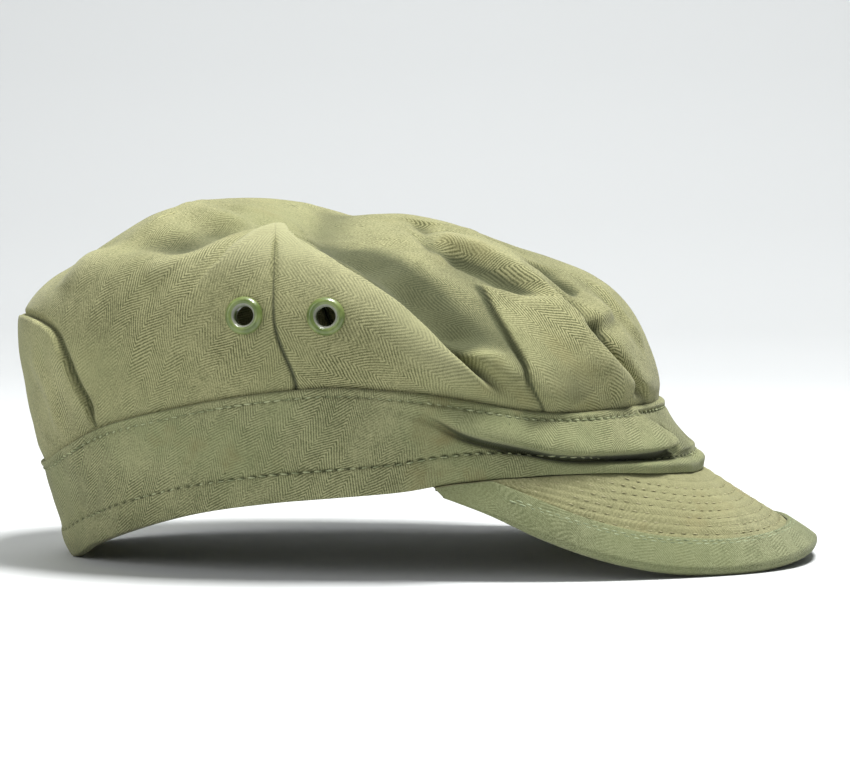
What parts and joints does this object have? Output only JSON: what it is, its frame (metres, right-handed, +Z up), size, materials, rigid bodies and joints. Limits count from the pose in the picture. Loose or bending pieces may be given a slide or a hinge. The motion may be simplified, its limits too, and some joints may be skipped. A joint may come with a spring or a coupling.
{
  "type": "field cap",
  "caption": "Soft cloth field cap with a slouched crown, a folded headband, side eyelets and a stitched, bound visor.",
  "frame": {"origin": "the middle of the footprint, on the surface that the cap rests on", "axes": "+X to the front, where the visor is, +Y to the wearer's left, +Z up"},
  "size_m": [0.2682, 0.1759, 0.12],
  "materials": {
    "crown_cloth": "washed olive-green herringbone cotton, matt",
    "band_cloth": "washed olive-green herringbone cotton with worn edges, matt",
    "visor_cloth": "faded olive-tan herringbone cotton with rows of stitches, matt",
    "binding_cloth": "green herringbone cotton strip, matt",
    "eyelet_enamel": "glossy olive-green enamel, worn at the edges"
  },
  "bodies": {
    "root": {"crown_front": "crown_cloth", "crown_rear": "crown_cloth", "headband": "band_cloth", "visor": "visor_cloth", "visor_binding": "binding_cloth", "eyelet_right_front": "eyelet_enamel", "eyelet_right_rear": "eyelet_enamel", "eyelet_left_front": "eyelet_enamel", "eyelet_left_rear": "eyelet_enamel"}
  },
  "joints": []
}
